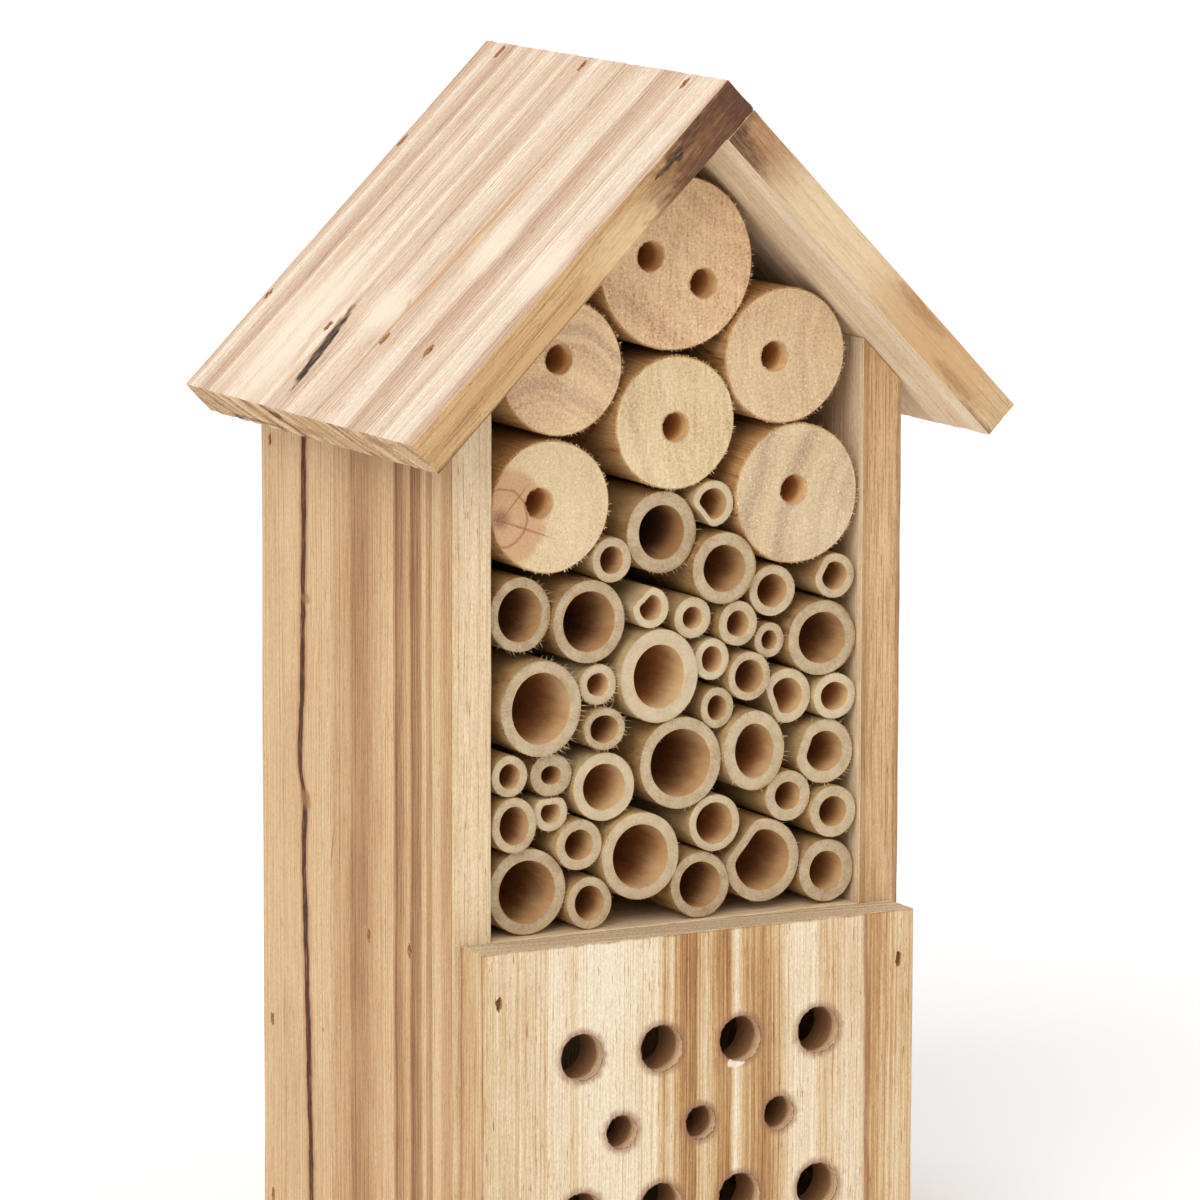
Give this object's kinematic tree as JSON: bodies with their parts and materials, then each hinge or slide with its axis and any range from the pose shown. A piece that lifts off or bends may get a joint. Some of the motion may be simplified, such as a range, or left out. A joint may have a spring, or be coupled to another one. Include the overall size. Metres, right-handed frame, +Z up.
{
  "type": "insect hotel",
  "caption": "Slim wooden insect hotel with a gable roof, an upper compartment packed with bamboo tubes and drilled logs, and a drilled front panel below.",
  "frame": {"origin": "middle of the bottom of the whole object's box, which the roof's eaves and overhang set", "axes": "+Z up, -Y towards the front with the tubes and the drilled panel, +X to the right as seen from the front"},
  "size_m": [0.1598, 0.123, 0.293],
  "materials": {
    "roof_wood": "sawn softwood, brushed, unfinished",
    "board_wood": "sawn softwood, lightly flamed",
    "panel_wood": "sawn softwood, lightly flamed, scorched hole rims",
    "log_wood": "sawn end grain with thin bark",
    "bamboo": "dry cane, sawn ends",
    "brad_steel": "dull, slightly rusted",
    "hanger_steel": "zinc plated"
  },
  "bodies": {
    "root": {"back_panel": "board_wood", "bamboo_tube_01": "bamboo", "bamboo_tube_02": "bamboo", "bamboo_tube_03": "bamboo", "bamboo_tube_04": "bamboo", "bamboo_tube_05": "bamboo", "bamboo_tube_06": "bamboo", "bamboo_tube_07": "bamboo", "bamboo_tube_08": "bamboo", "bamboo_tube_09": "bamboo", "bamboo_tube_10": "bamboo", "bamboo_tube_11": "bamboo", "bamboo_tube_12": "bamboo", "bamboo_tube_13": "bamboo", "bamboo_tube_14": "bamboo", "bamboo_tube_15": "bamboo", "bamboo_tube_16": "bamboo", "bamboo_tube_17": "bamboo", "bamboo_tube_18": "bamboo", "bamboo_tube_19": "bamboo", "bamboo_tube_20": "bamboo", "bamboo_tube_21": "bamboo", "bamboo_tube_22": "bamboo", "bamboo_tube_23": "bamboo", "bamboo_tube_24": "bamboo", "bamboo_tube_25": "bamboo", "bamboo_tube_26": "bamboo", "bamboo_tube_27": "bamboo", "bamboo_tube_28": "bamboo", "bamboo_tube_29": "bamboo", "bamboo_tube_30": "bamboo", "bamboo_tube_31": "bamboo", "bamboo_tube_32": "bamboo", "bamboo_tube_33": "bamboo", "bamboo_tube_34": "bamboo", "bamboo_tube_35": "bamboo", "bamboo_tube_36": "bamboo", "bamboo_tube_37": "bamboo", "bamboo_tube_38": "bamboo", "bamboo_tube_39": "bamboo", "bamboo_tube_40": "bamboo", "base_board": "board_wood", "body_brads": "brad_steel", "front_panel": "panel_wood", "hanger_plate": "hanger_steel", "hanger_screws": "hanger_steel", "log_centre": "log_wood", "log_left": "log_wood", "log_lower_left": "log_wood", "log_lower_right": "log_wood", "log_right": "log_wood", "log_top": "log_wood", "panel_brads": "brad_steel", "roof_board_left": "roof_wood", "roof_board_right": "roof_wood", "roof_brads": "brad_steel", "shelf": "board_wood", "side_board_left": "board_wood", "side_board_right": "board_wood"}
  },
  "joints": []
}
